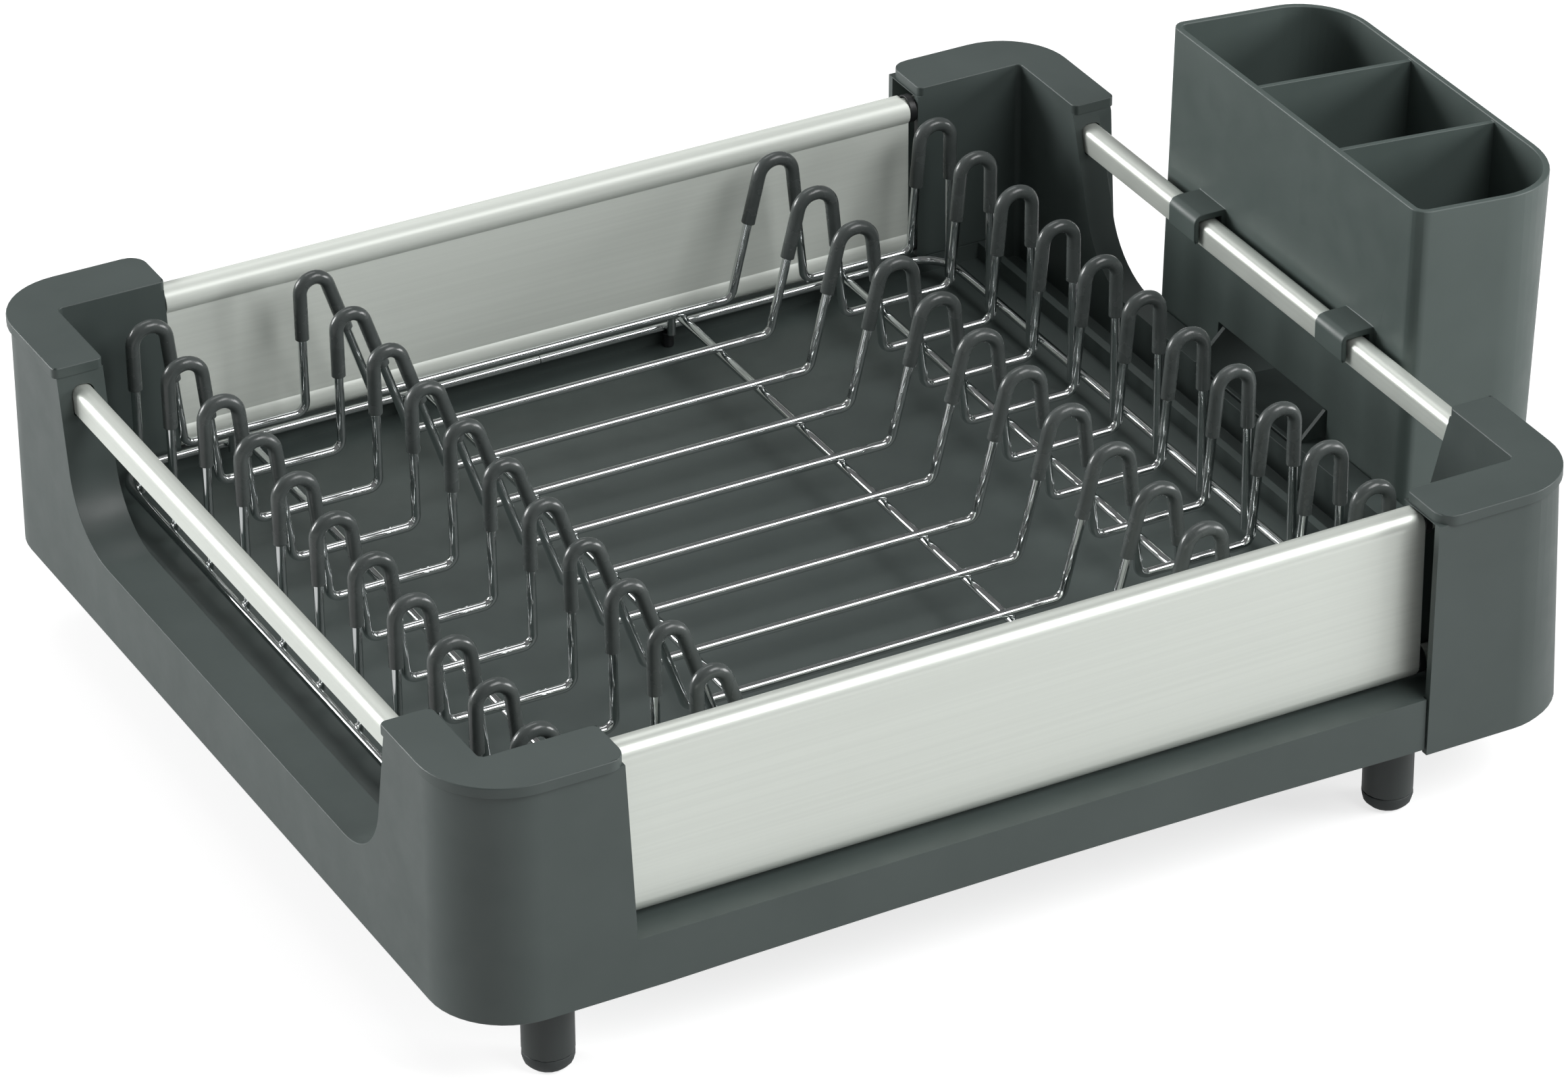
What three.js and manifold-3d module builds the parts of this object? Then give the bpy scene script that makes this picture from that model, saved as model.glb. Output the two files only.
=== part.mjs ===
// A dish drying rack that pulls out to the right: a moulded tray on legs with aluminium side panels,
// an extension tray that slides on rods inside the panels, a lift-out wire rack and a cutlery caddy
// that hooks over the right rail. Millimetres, +Z up. X runs along the front from left to right and Y
// from front to back. The shapes are drawn about the middle of the closed body, and the finished group
// is then moved along X so that the origin is on the table under the middle of the whole object.

import * as THREE from 'three';
import { mergeVertices } from 'three/addons/utils/BufferGeometryUtils.js';
import Module from 'manifold-3d';

// Whole body
const closedLength = 380.8;
const closedDepth = 339.4;
const capTop = 111.8;
const capThickness = 3.2;
const lipOverhang = 1.3;
const cornerRadius = 24;
const frontLeftRadius = 26.5;
const capEndRadius = 6;
const capEndStep = 0.6;
const innerCornerRadius = 2;
const plasticWall = 2.5;

// Clearances and how finely round stretches are drawn
const fitGap = 0.3;
const slideGap = 0.5;
const overrun = 4;
const curveError = 0.06;
const routeError = 0.25;
const roundSides = 20;
const boreSides = 16;
const wireSides = 6;

// Base tray
const skirtBottom = 30.2;
const floorTop = 42.1;
const floorThickness = 2.7;
const frontLedgeTop = 48.1;
const leftLedgeTop = 56.2;
const leftWallWidth = 15.6;
const shelfWidth = 7.6;
const shelfTop = 46.4;
const longArm = 54;
const shortArm = 56;
const frontLeftArm = 51.3;
const armDepth = 20.3;
const armDraft = 3;
const basinEndInset = 28.1;
const basinEndWall = 3;
const rimReach = 12.5;
const leftSweepRun = 9.8;
const leftSweepRadius = 26;
const archRise = 1.5;
const archSpan = 250;
const archSteps = 10;
const postEndWall = 8;

// Extension tray
const extensionFaceProud = 0.8;
const extensionBottom = 28.5;
const extensionArmDepth = 20;
const seamDraft = 1;
const rightLedgeTop = 54.5;
const rightWallWidth = 9.7;
const rightWallRecess = 4.6;
const rightPostDraft = 3.3;
const rightSweepRun = 17.1;
const rightSweepRadius = 28;
const tongueMargin = 12.4;
const tongueReach = 242.3;
const tongueThickness = 2.7;
const postCoreLength = 29;

// Spout
const spoutNear = -26;
const spoutFar = 33.9;
const spoutWall = 1.6;
const spoutReach = 48.6;
const spoutSill = 11.3;
const spoutLipInset = 4.1;
const spoutSlotInset = 1.7;
const spoutSlotWidth = 1;
const spoutSlotDepth = 1.5;
const spoutStep = 4.5;
const spoutFall = 3.5;
const spoutFloorThickness = 2;
const cheekRun = 9.9;
const cheekRise = 9.9;

// Side panels, one extrusion with two tubes each
const panelRecess = 10.5;
const panelTop = 108;
const panelBottom = 49.1;
const tubeRadius = 5;
const tubeWall = 0.95;
const webThickness = 1.5;
const panelCornerRadius = 3;
const frontPanelPast = 3.1;
const backPanelShort = 1.5;
const backWebCut = 3.3;
const panelTabLength = 5;
const panelTabMargin = 6;

// Rods and their bushings
const rodClearance = 0.35;
const rodEndGap = 2.5;
const rodSocketDepth = 10;
const bushingLength = 2.4;
const bushingStep = 0.2;

// Rails
const railCentreInset = 9.4;
const railWidth = 7.1;
const railTop = 104.1;
const railHeight = 8.9;
const railTopRadius = 2.9;
const railBottomRadius = 0.6;
const railSocketDepth = 6;

// Wire rack
const wireDiameter = 3;
const coatDiameter = 4.6;
const coatLength = 21;
const wireCount = 11;
const wireRowMargin = 12.4;
const rackLeftInset = 11.5;
const rackRightInset = 19.3;
const runHeight = 18.4;
const footBend = 3.8;
const ringHeight = 7;
const ringMargin = 2;
const ringCornerRadius = 13;
const outerLoopTop = 108;
const innerLoopTop = 110.5;

// The feet and the top of each loop of a plate wire, as shares of the rack's length from its left end,
// and the bend of its top as a share of the top's width
const loopShares = [
  { foot: 0, topLeft: -0.0014, topRight: 0.0367, footRight: 0.053, bend: 0.518 },
  { foot: 0.197, topLeft: 0.1957, topRight: 0.2249, footRight: 0.2782, bend: 0.57 },
  { foot: 0.7194, topLeft: 0.7602, topRight: 0.7965, footRight: 0.8125, bend: 0.57 },
  { foot: 0.9487, topLeft: 0.9626, topRight: 1, footRight: 1, bend: 0.509 },
];
const loopTops = [outerLoopTop, innerLoopTop, innerLoopTop, outerLoopTop];

// The cross bars as shares of the rack's length from its left end, and the rack's feet
const crossBarShares = { a: 0.122, b: 0.3383, c: 0.6603, d: 0.8628 };
const rackFootDiameter = 4;
const rackFootInset = 0.6;

// Caddy
const caddyInnerGap = 3.4;
const caddyInnerLean = 3;
const caddyNear = -72.9;
const caddyFar = 76.1;
const caddyDepth = 62.6;
const caddyTop = 156;
const caddyRimDrop = 5;
const caddyBottom = 50;
const caddyTaper = 5;
const caddyWall = 2.2;
const caddyFloor = 2.4;
const caddyInnerRadius = 5;
const caddyFrontRadius = 29.5;
const caddyBackRadius = 22;
const dividerThickness = 1.8;
const dividerDrop = 1;
const dividerCount = 2;
const tunnelSideGap = 1.8;
const tunnelTop = 65;
const hookWidth = 16.2;
const nearHookY = -44.3;
const farHookY = 44.9;
const hookWall = 1.8;
const hookSideGap = 0.7;
const hookRoof = 2.1;
const hookDrop = 7.8;
const hookRadius = 3;

// Legs
const legDiameter = 16;
const legTipHeight = 5.5;
const legTipRadius = 4;
const legLeftInset = 36.4;
const legRightInset = 55.5;
const legSideInset = 21.2;

// Places that follow from the sizes
const left = -closedLength / 2 + lipOverhang;
const right = closedLength / 2 - lipOverhang;
const face = closedDepth / 2 - lipOverhang;
const capBottom = capTop - capThickness;
const floorBottom = floorTop - floorThickness;
const basinHalf = closedDepth / 2 - armDepth;
const leftInner = left + leftWallWidth;
const basinLeft = leftInner + shelfWidth;
const trayEnd = closedLength / 2 - basinEndInset;
const seam = closedLength / 2 - longArm - capEndStep - seamDraft - fitGap;
const armEnd = closedDepth / 2 - shortArm;
const frontLeftArmEnd = closedDepth / 2 - frontLeftArm;
const armTopX = longArm - capEndStep - closedLength / 2;
const extensionFace = face + extensionFaceProud;
const extensionInner = closedDepth / 2 - extensionArmDepth;
const rightInner = right - rightWallRecess - rightWallWidth;
const panelOuterFace = closedDepth / 2 - panelRecess;
const frontPanelEnd = seam + frontPanelPast;
const backPanelEnd = seam - backPanelShort;
const tubeBore = tubeRadius - tubeWall;
const rodRadius = tubeBore - rodClearance;
const topTubeZ = panelTop - tubeRadius;
const bottomTubeZ = panelBottom + tubeRadius;
const tubeY = panelOuterFace - tubeRadius;
const rodEnd = right - postCoreLength + rodSocketDepth;
const rodStart = longArm - closedLength / 2 + armDraft + rodEndGap;
const railX = closedLength / 2 - railCentreInset;
const runZ = floorTop + runHeight;
const ringZ = floorTop + ringHeight;
const weldStep = wireDiameter + fitGap;
const ringHalfDepth = basinHalf - ringMargin;
const wirePitch = (2 * (ringHalfDepth - wireRowMargin)) / (wireCount - 1);
const rackLeft = basinLeft + rackLeftInset;
const rackRight = trayEnd - basinEndWall - rackRightInset;
const rackLength = rackRight - rackLeft;
const caddyInner = right - rightWallRecess + caddyInnerGap;
const caddyCutStart = caddyInner - caddyInnerLean - overrun;
const tunnelNear = spoutNear - spoutWall - tunnelSideGap;
const tunnelFar = spoutFar + spoutWall + tunnelSideGap;
const legLeftX = legLeftInset - closedLength / 2;
const legRightX = closedLength / 2 - legRightInset;
const legHalfSpread = closedDepth / 2 - legSideInset;

// Materials
const plastic = () => new THREE.MeshStandardMaterial({ color: 0x4a5553, roughness: 0.5, metalness: 0 });
const aluminium = () => new THREE.MeshStandardMaterial({ color: 0xd5d9d1, roughness: 0.35, metalness: 1 });
const chrome = () => new THREE.MeshStandardMaterial({ color: 0xe4e6e6, roughness: 0.08, metalness: 1 });
const coating = () => new THREE.MeshStandardMaterial({ color: 0x46484a, roughness: 0.25, metalness: 0.1 });
const rubber = () => new THREE.MeshStandardMaterial({ color: 0x2b2d2d, roughness: 0.7, metalness: 0 });

const wasm = await Module();
wasm.setup();

// Turns a closed geometry into a solid that can be cut and joined
function toSolid(geometry) {
  geometry.deleteAttribute('normal');
  geometry.deleteAttribute('uv');
  const merged = mergeVertices(geometry);
  return new wasm.Manifold(new wasm.Mesh({
    numProp: 3,
    vertProperties: new Float32Array(merged.attributes.position.array),
    triVerts: new Uint32Array(merged.index.array),
  }));
}

function toGeometry(solid) {
  const mesh = solid.getMesh();
  const geometry = new THREE.BufferGeometry();
  geometry.setAttribute('position', new THREE.BufferAttribute(mesh.vertProperties, 3));
  geometry.setIndex(new THREE.BufferAttribute(mesh.triVerts, 1));
  geometry.computeVertexNormals();
  return geometry;
}

// How many straight steps a round stretch needs to stay within the given error
function arcSteps(radius, angle, error) {
  const stepAngle = 2 * Math.acos(1 - Math.min(error / radius, 0.5));
  return Math.max(1, Math.ceil(angle / stepAngle - 0.01));
}

// Replaces each corner [x, y, radius] that has a radius with an arc; an open route keeps its two ends
function roundCorners(corners, error, open = false) {
  const points = [];
  corners.forEach(([x, y, radius = 0], index) => {
    const here = new THREE.Vector2(x, y);
    const atEnd = open && (index === 0 || index === corners.length - 1);
    if (radius === 0 || atEnd) {
      points.push(here);
      return;
    }
    const before = corners.at(index - 1);
    const after = corners[(index + 1) % corners.length];
    const toBefore = new THREE.Vector2(before[0], before[1]).sub(here).normalize();
    const toAfter = new THREE.Vector2(after[0], after[1]).sub(here).normalize();
    const halfAngle = Math.acos(THREE.MathUtils.clamp(toBefore.dot(toAfter), -1, 1)) / 2;
    const turn = Math.PI - 2 * halfAngle;
    const side = Math.sign(toAfter.cross(toBefore)) || 1;
    const start = here.clone().addScaledVector(toBefore, radius / Math.tan(halfAngle));
    const inward = toBefore.clone().add(toAfter).normalize();
    const centre = here.clone().addScaledVector(inward, radius / Math.sin(halfAngle));
    const steps = arcSteps(radius, turn, error);
    for (let step = 0; step <= steps; step += 1) {
      const point = start.clone().rotateAround(centre, (side * turn * step) / steps);
      const repeatsLast = points.length > 0 && points.at(-1).distanceTo(point) < error;
      if (!repeatsLast) points.push(point);
    }
  });
  return points;
}

function circle(centreX, centreY, radius, sides) {
  const points = [];
  for (let side = 0; side < sides; side += 1) {
    const angle = (2 * Math.PI * (side + 0.5)) / sides;
    points.push(new THREE.Vector2(centreX + radius * Math.cos(angle), centreY + radius * Math.sin(angle)));
  }
  return points;
}

const axisX = new THREE.Vector3(1, 0, 0);
const axisY = new THREE.Vector3(0, 1, 0);
const axisZ = new THREE.Vector3(0, 0, 1);
const uprightToX = new THREE.Matrix4().makeBasis(axisY, axisZ, axisX);
const uprightToY = new THREE.Matrix4().makeBasis(axisX, axisZ, axisY.clone().negate());

function extrude(points, depth, holes) {
  const shape = new THREE.Shape(points);
  holes.forEach((hole) => shape.holes.push(new THREE.Path(hole)));
  return new THREE.ExtrudeGeometry(shape, { depth, bevelEnabled: false, steps: 1 });
}

// Prisms: prismZ takes an outline in X and Y, prismX one in Y and Z, and prismY one in X and Z
function prismZ(points, low, high, holes = []) {
  return toSolid(extrude(points, high - low, holes).translate(0, 0, low));
}

function prismX(points, from, to, holes = []) {
  return toSolid(extrude(points, to - from, holes).applyMatrix4(uprightToX).translate(from, 0, 0));
}

function prismY(points, from, to, holes = []) {
  return toSolid(extrude(points, to - from, holes).applyMatrix4(uprightToY).translate(0, to, 0));
}

function box(x0, x1, y0, y1, z0, z1) {
  const geometry = new THREE.BoxGeometry(x1 - x0, y1 - y0, z1 - z0);
  return toSolid(geometry.translate((x0 + x1) / 2, (y0 + y1) / 2, (z0 + z1) / 2));
}

// A box on one side of the body: side -1 is the front, side 1 the back, near and far are distances from Y 0
function sideBox(side, x0, x1, near, far, z0, z1) {
  return box(x0, x1, Math.min(side * near, side * far), Math.max(side * near, side * far), z0, z1);
}

function mirrorDepth(corners) {
  return corners.map(([x, y, radius]) => [x, -y, radius]).reverse();
}

function outline(corners) {
  return roundCorners(corners, curveError);
}

// A wire's route through given points, with a mitred joint at each of them
class WireRoute extends THREE.Curve {
  constructor(points) {
    super();
    this.points = points;
  }

  indexAt(share) {
    return Math.round(share * (this.points.length - 1));
  }

  getPointAt(share, target = new THREE.Vector3()) {
    return target.copy(this.points[this.indexAt(share)]);
  }

  getTangentAt(share, target = new THREE.Vector3()) {
    const index = this.indexAt(share);
    const here = this.points[index];
    const last = this.points.length - 1;
    const incoming = here.clone().sub(this.points[Math.max(index - 1, 0)]).normalize();
    const outgoing = this.points[Math.min(index + 1, last)].clone().sub(here).normalize();
    return target.copy(incoming).add(outgoing).normalize();
  }
}

function wireSolid(points, diameter) {
  const section = new THREE.Shape(circle(0, 0, diameter / 2, wireSides));
  const extrudePath = new WireRoute(points);
  return toSolid(new THREE.ExtrudeGeometry(section, { steps: points.length - 1, extrudePath }));
}

// The space above a side wall between its two posts, with a round sweep up to each post
function sweepCut(ledgeTop, frontArmEnd, sweepRun, sweepRadius, from, to) {
  const overShare = overrun / (capBottom - ledgeTop);
  const topStep = capEndStep + sweepRun * overShare;
  const footStep = capEndStep - sweepRun;
  const topZ = capBottom + overrun;
  return prismX(outline([
    [-frontArmEnd - topStep, topZ],
    [-frontArmEnd - footStep, ledgeTop, sweepRadius],
    [armEnd + footStep, ledgeTop, sweepRadius],
    [armEnd + topStep, topZ],
  ]), from, to);
}

function railOutline(gap) {
  const halfWidth = railWidth / 2 + gap;
  return outline([
    [-halfWidth, railTop - railHeight - gap, railBottomRadius],
    [halfWidth, railTop - railHeight - gap, railBottomRadius],
    [halfWidth, railTop + gap, railTopRadius],
    [-halfWidth, railTop + gap, railTopRadius],
  ]);
}

// A rail between two posts, of which the front one's arm ends at the given distance from the middle
function makeRail(frontArmEnd) {
  const seated = railSocketDepth - 2 * fitGap;
  return prismY(railOutline(0), -frontArmEnd - seated, armEnd + seated);
}

function railSockets(frontArmEnd, x) {
  const depth = railSocketDepth - fitGap;
  return prismY(railOutline(fitGap), -frontArmEnd - depth, armEnd + depth).translate([x, 0, 0]);
}

// The L-shaped cap of one left post: side -1 is the front, side 1 the back
function leftCap(side) {
  const edge = closedDepth / 2;
  const sideArmEnd = side < 0 ? frontLeftArmEnd : armEnd;
  const corners = [
    [left - lipOverhang, -edge, side < 0 ? frontLeftRadius : cornerRadius],
    [left - lipOverhang + longArm, -edge, capEndRadius],
    [left - lipOverhang + longArm, -basinHalf, innerCornerRadius],
    [leftInner, -basinHalf, innerCornerRadius],
    [leftInner, -sideArmEnd, innerCornerRadius],
    [left - lipOverhang, -sideArmEnd, innerCornerRadius],
  ];
  return prismZ(outline(side < 0 ? corners : mirrorDepth(corners)), capBottom - fitGap, capTop);
}

// The space over the low wall to the right of the slanted end of the left posts' front and back arms
function besidePost(gap, to) {
  const slopeShare = armDraft / (capBottom - frontLedgeTop);
  return prismY([
    new THREE.Vector2(armTopX + gap - slopeShare * overrun, capBottom + overrun),
    new THREE.Vector2(armTopX + gap + armDraft, frontLedgeTop),
    new THREE.Vector2(to, frontLedgeTop),
    new THREE.Vector2(to, capBottom + overrun),
  ], -closedDepth, closedDepth);
}

function panelTab(side, gap) {
  const tabStart = left - lipOverhang + longArm - panelTabLength - gap;
  const tabEnd = left - lipOverhang + longArm + armDraft + panelTabLength;
  const low = panelBottom + 2 * tubeRadius + panelTabMargin - gap;
  const high = panelTop - 2 * tubeRadius - panelTabMargin + gap;
  const near = panelOuterFace - webThickness - gap;
  return sideBox(side, tabStart, tabEnd, near, panelOuterFace + gap, low, high);
}

function makeBaseTray() {
  const frontRadius = frontLeftRadius - lipOverhang;
  const backRadius = cornerRadius - lipOverhang;
  const postRight = left - lipOverhang + longArm + armDraft;
  const wallOutline = outline([
    [left, -face, frontRadius],
    [seam, -face],
    [seam, face],
    [left, face, backRadius],
  ]);
  const postOutline = outline([
    [left, -face, frontRadius],
    [postRight, -face],
    [postRight, -basinHalf],
    [leftInner, -basinHalf, innerCornerRadius],
    [leftInner, basinHalf, innerCornerRadius],
    [postRight, basinHalf],
    [postRight, face],
    [left, face, backRadius],
  ]);
  let tray = prismZ(wallOutline, skirtBottom, frontLedgeTop);
  tray = tray.add(prismZ(postOutline, skirtBottom, capBottom).subtract(besidePost(0, postRight + overrun)));
  const rimHalf = extensionFace - plasticWall - fitGap;
  tray = tray.add(box(seam - overrun, seam + rimReach, -rimHalf, rimHalf, floorBottom, frontLedgeTop));
  const endHalf = basinHalf + plasticWall;
  tray = tray.add(box(seam - overrun, trayEnd, -endHalf, endHalf, floorBottom, frontLedgeTop));

  const basinEnd = trayEnd - basinEndWall;
  const innerTop = capBottom + overrun;
  tray = tray.subtract(box(basinLeft, basinEnd, -basinHalf, basinHalf, floorTop, innerTop));
  tray = tray.subtract(box(leftInner, basinLeft + overrun, -basinHalf, basinHalf, shelfTop, innerTop));

  const undersideOutline = outline([
    [left + plasticWall, -face + plasticWall, frontRadius - plasticWall],
    [seam + overrun, -face + plasticWall],
    [seam + overrun, face - plasticWall],
    [left + plasticWall, face - plasticWall, backRadius - plasticWall],
  ]);
  tray = tray.subtract(prismZ(undersideOutline, skirtBottom - overrun, floorBottom));

  tray = tray.subtract(sweepCut(leftLedgeTop, frontLeftArmEnd, leftSweepRun, leftSweepRadius,
    left - overrun, leftInner + overrun));
  for (const side of [-1, 1]) {
    const pocketEnd = (side < 0 ? frontLeftArmEnd : armEnd) + postEndWall;
    const bodyRadius = side < 0 ? frontRadius : backRadius;
    const pocketCorners = [
      [left + plasticWall, -face + plasticWall, bodyRadius - plasticWall],
      [left + longArm - postEndWall, -face + plasticWall],
      [left + longArm - postEndWall, -basinHalf - plasticWall],
      [leftInner - plasticWall, -basinHalf - plasticWall, innerCornerRadius],
      [leftInner - plasticWall, -pocketEnd],
      [left + plasticWall, -pocketEnd],
    ];
    const pocket = outline(side < 0 ? pocketCorners : mirrorDepth(pocketCorners));
    tray = tray.subtract(prismZ(pocket, skirtBottom - overrun, capBottom - plasticWall));
    tray = tray.add(leftCap(side));
    tray = tray.subtract(panelTab(side, fitGap));
  }
  tray = tray.subtract(railSockets(frontLeftArmEnd, -railX));

  const archPoints = [];
  for (let step = 0; step <= archSteps; step += 1) {
    const share = (2 * step) / archSteps - 1;
    const x = (share * archSpan) / 2;
    archPoints.push(new THREE.Vector2(x, skirtBottom + archRise * (1 - share * share)));
  }
  archPoints.push(new THREE.Vector2(archSpan / 2, skirtBottom - overrun));
  archPoints.push(new THREE.Vector2(-archSpan / 2, skirtBottom - overrun));
  return tray.subtract(prismY(archPoints, -face - overrun, face + overrun));
}

// The L-shaped cap of one right post
function rightCap(side) {
  const edge = extensionFace + lipOverhang - fitGap;
  const corners = [
    [right + lipOverhang - longArm, -extensionInner, innerCornerRadius],
    [right + lipOverhang - longArm, -edge, capEndRadius],
    [right + lipOverhang, -edge, cornerRadius],
    [right + lipOverhang, -armEnd, innerCornerRadius],
    [rightInner, -armEnd, innerCornerRadius],
    [rightInner, -extensionInner, innerCornerRadius],
  ];
  return prismZ(outline(side < 0 ? corners : mirrorDepth(corners)), capBottom - fitGap, capTop);
}

function panelEnd(side) {
  return side < 0 ? frontPanelEnd : backPanelEnd;
}

// The spout's trough without its channel, and the channel that is cut through the low wall and the trough.
// Water crosses the sill and its slot, drops over the lip and runs out between two cheeks.
function spoutProfiles(floorPlateTop) {
  const wallFace = right - rightWallRecess;
  const inside = rightInner + plasticWall / 2;
  const outside = wallFace + spoutReach;
  const cheekFoot = rightLedgeTop - fitGap;
  const sill = floorPlateTop + spoutSill;
  const lip = wallFace - spoutLipInset;
  const slotEnd = lip - spoutSlotInset;
  const slotStart = slotEnd - spoutSlotWidth;
  const slopeShare = spoutFall / (outside - lip);
  const floorAt = (x) => sill - spoutStep - slopeShare * (x - lip);
  const trough = prismY([
    new THREE.Vector2(inside, floorAt(inside) - spoutFloorThickness),
    new THREE.Vector2(outside, floorAt(outside) - spoutFloorThickness),
    new THREE.Vector2(outside, cheekFoot + cheekRise),
    new THREE.Vector2(inside + cheekRun, cheekFoot + cheekRise),
    new THREE.Vector2(inside, cheekFoot),
  ], spoutNear - spoutWall, spoutFar + spoutWall);
  const channel = prismY([
    new THREE.Vector2(rightInner - overrun, sill),
    new THREE.Vector2(slotStart, sill),
    new THREE.Vector2(slotStart, sill - spoutSlotDepth),
    new THREE.Vector2(slotEnd, sill - spoutSlotDepth),
    new THREE.Vector2(slotEnd, sill),
    new THREE.Vector2(lip, sill),
    new THREE.Vector2(lip, floorAt(lip)),
    new THREE.Vector2(outside + overrun, floorAt(outside + overrun)),
    new THREE.Vector2(outside + overrun, capBottom),
    new THREE.Vector2(rightInner - overrun, capBottom),
  ], spoutNear, spoutFar);
  return { trough, channel };
}

// Leans the outer faces of the right posts outward towards the bottom
function draftRightPosts(solid) {
  return solid.warp((vertex) => {
    const outwardShare = Math.max(0, (vertex[0] - rightInner) / (right - rightInner));
    const dropShare = (capBottom - vertex[2]) / (capBottom - extensionBottom);
    vertex[0] += rightPostDraft * outwardShare * dropShare;
  });
}

function makeExtensionTray() {
  const bodyRadius = cornerRadius - lipOverhang;
  const postLeft = seam + fitGap;
  const postOutline = outline([
    [postLeft, -extensionFace],
    [right, -extensionFace, bodyRadius],
    [right, extensionFace, bodyRadius],
    [postLeft, extensionFace],
    [postLeft, extensionInner],
    [rightInner, extensionInner, innerCornerRadius],
    [rightInner, -extensionInner, innerCornerRadius],
    [postLeft, -extensionInner],
  ]);
  let tray = draftRightPosts(prismZ(postOutline, extensionBottom, capBottom));
  const draftWedge = [
    new THREE.Vector2(postLeft - overrun, extensionBottom),
    new THREE.Vector2(postLeft, extensionBottom),
    new THREE.Vector2(postLeft + seamDraft, capBottom),
    new THREE.Vector2(postLeft + seamDraft, capBottom + overrun),
    new THREE.Vector2(postLeft - overrun, capBottom + overrun),
  ];
  tray = tray.subtract(prismY(draftWedge, -extensionFace - overrun, extensionFace + overrun));

  const outside = right - rightWallRecess;
  tray = tray.subtract(sweepCut(rightLedgeTop, armEnd, rightSweepRun, rightSweepRadius,
    rightInner - overrun, right + overrun));
  tray = tray.subtract(box(outside, right + overrun, -armEnd, armEnd, extensionBottom - overrun, capBottom));

  const plateTop = floorBottom - slideGap;
  const plateBottom = plateTop - tongueThickness;
  const rimClear = frontLedgeTop + fitGap;
  for (const side of [-1, 1]) {
    const skinInside = extensionFace - plasticWall;
    const skinStart = panelEnd(side) + bushingLength + 2 * fitGap;
    const pocketTop = capBottom - fitGap;
    tray = tray.subtract(sideBox(side, postLeft - overrun, right - postCoreLength,
      extensionInner + plasticWall, skinInside, extensionBottom - overrun, pocketTop));
    tray = tray.subtract(sideBox(side, postLeft - overrun, skinStart,
      extensionInner - overrun, skinInside, extensionBottom - overrun, pocketTop));
    tray = tray.subtract(sideBox(side, postLeft - overrun, trayEnd + slideGap,
      extensionInner - overrun, skinInside, extensionBottom - overrun, rimClear));
    tray = tray.subtract(sideBox(side, rightInner + plasticWall, right - plasticWall, armEnd + postEndWall,
      extensionInner - plasticWall, extensionBottom - overrun, capBottom - plasticWall));
    tray = tray.add(rightCap(side));
  }
  const straightHalf = armEnd - rightSweepRun - rightSweepRadius;
  tray = tray.subtract(box(rightInner + plasticWall, outside - plasticWall, -straightHalf, straightHalf,
    extensionBottom - overrun, rightLedgeTop - plasticWall));
  tray = tray.add(box(trayEnd - tongueReach, rightInner + plasticWall,
    tongueMargin - basinHalf, basinHalf - tongueMargin, plateBottom, plateTop));
  tray = tray.add(box(trayEnd + slideGap, rightInner + plasticWall,
    -extensionInner - plasticWall, extensionInner + plasticWall, plateBottom, plateTop));

  const spout = spoutProfiles(plateTop);
  tray = tray.add(spout.trough).subtract(spout.channel);

  for (const side of [-1, 1]) {
    for (const z of [bottomTubeZ, topTubeZ]) {
      const socket = circle(side * tubeY, z, rodRadius + fitGap, boreSides);
      tray = tray.subtract(prismX(socket, postLeft - overrun, rodEnd + fitGap));
    }
  }
  return tray.subtract(railSockets(armEnd, railX));
}

// One side panel: side -1 is the front, side 1 the back
function makePanel(side) {
  const webInner = panelOuterFace - webThickness;
  const joinAngle = Math.acos((tubeY - webInner) / tubeRadius);
  const sweep = 2 * Math.PI - joinAngle;
  const steps = arcSteps(tubeRadius, sweep, curveError);
  const points = [];
  for (const [centreZ, start] of [[bottomTubeZ, Math.PI], [topTubeZ, Math.PI + joinAngle]]) {
    for (let step = 0; step <= steps; step += 1) {
      const angle = start + (sweep * step) / steps;
      points.push(new THREE.Vector2(
        -tubeY + tubeRadius * Math.cos(angle),
        centreZ + tubeRadius * Math.sin(angle),
      ));
    }
  }
  const profile = side < 0 ? points : points.map((point) => new THREE.Vector2(-point.x, point.y)).reverse();
  const bores = [bottomTubeZ, topTubeZ].map((z) => circle(side * tubeY, z, tubeBore, boreSides));
  const start = left - lipOverhang + longArm - overrun;
  const end = panelEnd(side);
  let panel = prismX(profile, start, end, bores);
  const sideView = outline([
    [start - overrun, panelBottom - overrun],
    [end - panelCornerRadius, panelBottom - overrun],
    [end - panelCornerRadius, panelBottom],
    [end, panelBottom, panelCornerRadius],
    [end, panelTop, panelCornerRadius],
    [end - panelCornerRadius, panelTop],
    [end - panelCornerRadius, panelTop + overrun],
    [start - overrun, panelTop + overrun],
  ]);
  panel = panel.intersect(prismY(sideView, -closedDepth, closedDepth));
  panel = panel.intersect(besidePost(fitGap, end + overrun));
  if (side > 0) {
    panel = panel.subtract(sideBox(side, end - backWebCut, end + overrun, webInner - fitGap,
      panelOuterFace + overrun, panelBottom + 2 * tubeRadius, panelTop - 2 * tubeRadius));
  }
  return panel.add(panelTab(side, 0));
}

function makeRod() {
  return prismX(circle(0, 0, rodRadius, boreSides), rodStart, rodEnd);
}

function makeBushing() {
  const ring = circle(0, 0, tubeRadius - bushingStep, roundSides);
  return prismX(ring, 0, bushingLength, [circle(0, 0, tubeBore, roundSides)]);
}

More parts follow.
